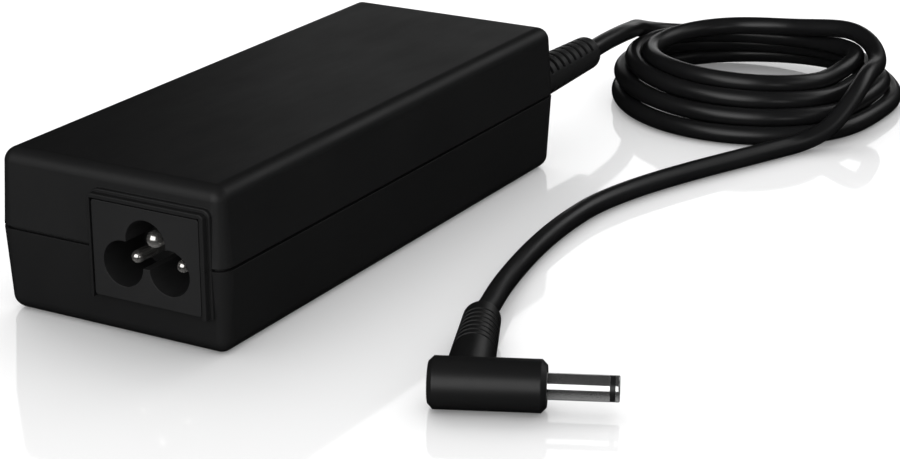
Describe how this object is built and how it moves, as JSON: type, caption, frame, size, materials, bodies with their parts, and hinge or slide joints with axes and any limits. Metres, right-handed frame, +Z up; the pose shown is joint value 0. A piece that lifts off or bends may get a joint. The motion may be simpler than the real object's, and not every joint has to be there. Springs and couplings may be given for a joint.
{
  "type": "laptop power adapter",
  "caption": "Brick-shaped laptop power adapter with a recessed clover-leaf mains inlet, a ribbed strain relief, a coiled cord and a right-angle barrel plug.",
  "frame": {"origin": "centre of the case's underside", "axes": "+X to the right seen from the inlet end, +Y from the inlet end to the cord end, +Z up"},
  "size_m": [0.1199, 0.2307, 0.0312],
  "materials": {
    "case_plastic": "satin black moulded plastic with a very fine texture",
    "inlet_plastic": "satin black moulded plastic",
    "label_film": "blank satin film",
    "pin_metal": "nickel plated brass",
    "barrel_metal": "bright nickel plated brass",
    "barrel_insulator": "black insulating ring",
    "relief_plastic": "satin black flexible plastic",
    "cord_jacket": "semi-gloss black soft jacket",
    "plug_plastic": "semi-gloss black moulded plastic",
    "board_laminate": "tan paper-phenolic laminate",
    "black_component": "black moulded epoxy",
    "fuse_ceramic": "pale ceramic tube",
    "film_capacitor_shell": "yellow moulded shell",
    "blue_disc": "blue epoxy dip",
    "capacitor_sleeve": "dark shrink sleeve",
    "ferrite": "dark grey ferrite",
    "bobbin_plastic": "black phenolic",
    "copper_winding": "enamelled copper",
    "yellow_tape": "yellow polyester tape",
    "sheet_aluminium": "mill-finish sheet",
    "insulating_film": "pale insulating film",
    "thermal_pad": "grey thermal pad",
    "screw_steel": "zinc plated steel",
    "wire_red": "red wire insulation",
    "wire_black": "black wire insulation",
    "wire_brown": "brown wire insulation",
    "wire_blue": "blue wire insulation",
    "wire_green": "green wire insulation",
    "wire_white": "white wire insulation"
  },
  "bodies": {
    "case": {"bridge_rectifier": "black_component", "bulk_capacitor": "capacitor_sleeve", "case_strain_relief": "relief_plastic", "circuit_board": "board_laminate", "cm_choke_core": "ferrite", "cm_choke_winding_front": "copper_winding", "cm_choke_winding_rear": "copper_winding", "controller_chip": "black_component", "dc_cord_entry": "cord_jacket", "dc_positive_wire": "wire_red", "dc_return_wire": "wire_black", "dc_sense_wire": "wire_white", "earth_pin": "pin_metal", "fuse": "fuse_ceramic", "heatsink_pads": "thermal_pad", "heatsink_screws": "screw_steel", "inlet_earth_wire": "wire_green", "inlet_housing": "inlet_plastic", "inlet_line_wire": "wire_brown", "inlet_neutral_wire": "wire_blue", "inrush_thermistor": "black_component", "line_pin": "pin_metal", "lower_heat_spreader": "sheet_aluminium", "lower_insulating_sheet": "insulating_film", "lower_shell": "case_plastic", "neutral_pin": "pin_metal", "optocoupler": "black_component", "output_capacitors": "capacitor_sleeve", "output_choke_core": "ferrite", "output_choke_winding": "copper_winding", "output_rectifier": "black_component", "primary_heatsink": "sheet_aluminium", "rating_label": "label_film", "secondary_heatsink": "sheet_aluminium", "switching_transistor": "black_component", "transformer_bobbin": "bobbin_plastic", "transformer_core_lower": "ferrite", "transformer_core_upper": "ferrite", "transformer_tape": "yellow_tape", "transformer_winding": "copper_winding", "upper_heat_spreader": "sheet_aluminium", "upper_insulating_sheet": "insulating_film", "upper_shell": "case_plastic", "x_capacitor": "film_capacitor_shell", "y_capacitor": "blue_disc"},
    "coil": {"dc_cord_coil": "cord_jacket"},
    "tail": {"dc_cord_tail": "cord_jacket"},
    "cord_end": {"dc_cord_end": "cord_jacket"},
    "neck": {"plug_cord_neck": "cord_jacket"},
    "plug": {"plug_overmould": "plug_plastic", "plug_outer_sleeve": "barrel_metal", "plug_insulating_ring": "barrel_insulator", "plug_inner_sleeve": "barrel_metal", "plug_inner_insulator": "barrel_insulator", "plug_centre_pin": "pin_metal", "plug_cord_core": "cord_jacket"}
  },
  "joints": [
    {"name": "lead_swing", "type": "hinge", "parent": "case", "child": "coil", "pos_m": [0.0165, 0.0965, 0.0164], "axis": [0, 0, 1], "range_deg": [-3, 25]},
    {"name": "tail_swing", "type": "hinge", "parent": "coil", "child": "tail", "pos_m": [0.0646, 0.0892, 0.0021], "axis": [0, 0, 1], "range_deg": [-4, 30]},
    {"name": "cord_lift", "type": "hinge", "parent": "tail", "child": "cord_end", "pos_m": [0.04635, 0.03, 0.0021], "axis": [-1, 0, 0], "range_deg": [0, 45]},
    {"name": "plug_bend", "type": "hinge", "parent": "cord_end", "child": "neck", "pos_m": [0.05582, -0.02266, 0.00334], "axis": [0, 0, 1], "range_deg": [-20, 20]},
    {"name": "plug_twist", "type": "hinge", "parent": "neck", "child": "plug", "pos_m": [0.06027, -0.03491, 0.00373], "axis": [0.4109, -0.9112, 0.0297], "range_deg": [0, 90]}
  ]
}
